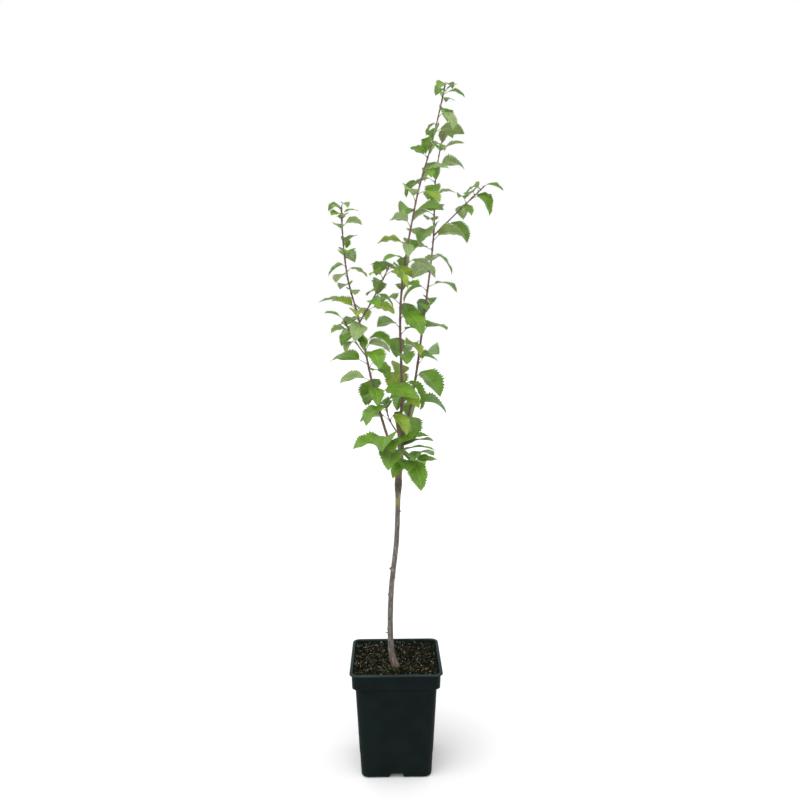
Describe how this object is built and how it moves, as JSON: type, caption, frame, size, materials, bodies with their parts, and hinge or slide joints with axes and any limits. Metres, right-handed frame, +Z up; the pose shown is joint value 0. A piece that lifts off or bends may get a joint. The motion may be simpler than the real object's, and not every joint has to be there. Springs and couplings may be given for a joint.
{
  "type": "potted plum tree",
  "caption": "Young grafted plum tree with three upright leafy limbs on a slim trunk, standing in a tall square nursery pot filled with potting mix.",
  "frame": {"origin": "centre of the pot's flat underside", "axes": "+Z up along the pot's axis, -Y towards the front, +X to the right as seen from the front"},
  "size_m": [0.3055, 0.2231, 1.1502],
  "materials": {
    "pot": "satin moulded plastic, very dark green",
    "potting_mix": "coarse damp potting mix",
    "bark": "grey-brown bark with lenticels",
    "young_bark": "smooth red-brown young bark",
    "leaf": "soft serrate leaves, satin above and paler below"
  },
  "bodies": {
    "root": {"pot": "pot", "potting_mix": "potting_mix", "trunk": "bark", "left_bough": "young_bark", "centre_bough": "young_bark", "right_bough": "young_bark", "low_right_foliage": "leaf", "low_left_foliage": "leaf", "inner_foliage": "leaf", "left_foliage": "leaf", "centre_foliage": "leaf", "right_foliage": "leaf"}
  },
  "joints": []
}
